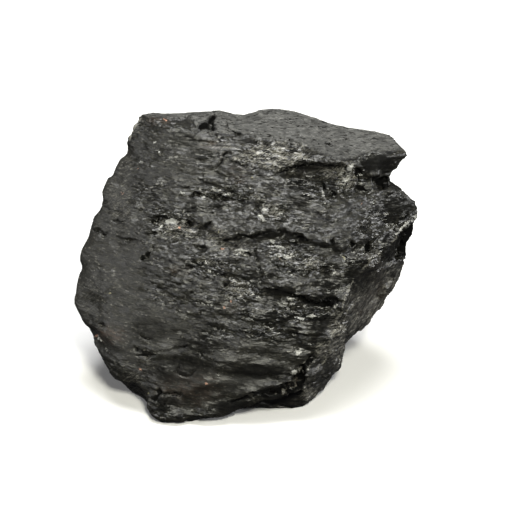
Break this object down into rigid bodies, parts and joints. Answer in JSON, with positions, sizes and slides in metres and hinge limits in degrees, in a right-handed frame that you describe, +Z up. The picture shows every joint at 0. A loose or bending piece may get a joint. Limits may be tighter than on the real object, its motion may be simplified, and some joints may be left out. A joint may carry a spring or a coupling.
{
  "type": "coal lump",
  "caption": "Fist-sized lump of black bituminous coal with flat cleavage faces, layered ledges and an overhanging corner, resting on a flat sole.",
  "frame": {"origin": "on the surface that the lump stands on, under the middle of its bounding box", "axes": "+X to the right of the broad front face and along the lump's longest side, +Y from the front face to the back, +Z up"},
  "size_m": [0.1204, 0.0868, 0.0869],
  "materials": {
    "coal": "satin"
  },
  "bodies": {
    "root": {"coal_lump": "coal"}
  },
  "joints": []
}
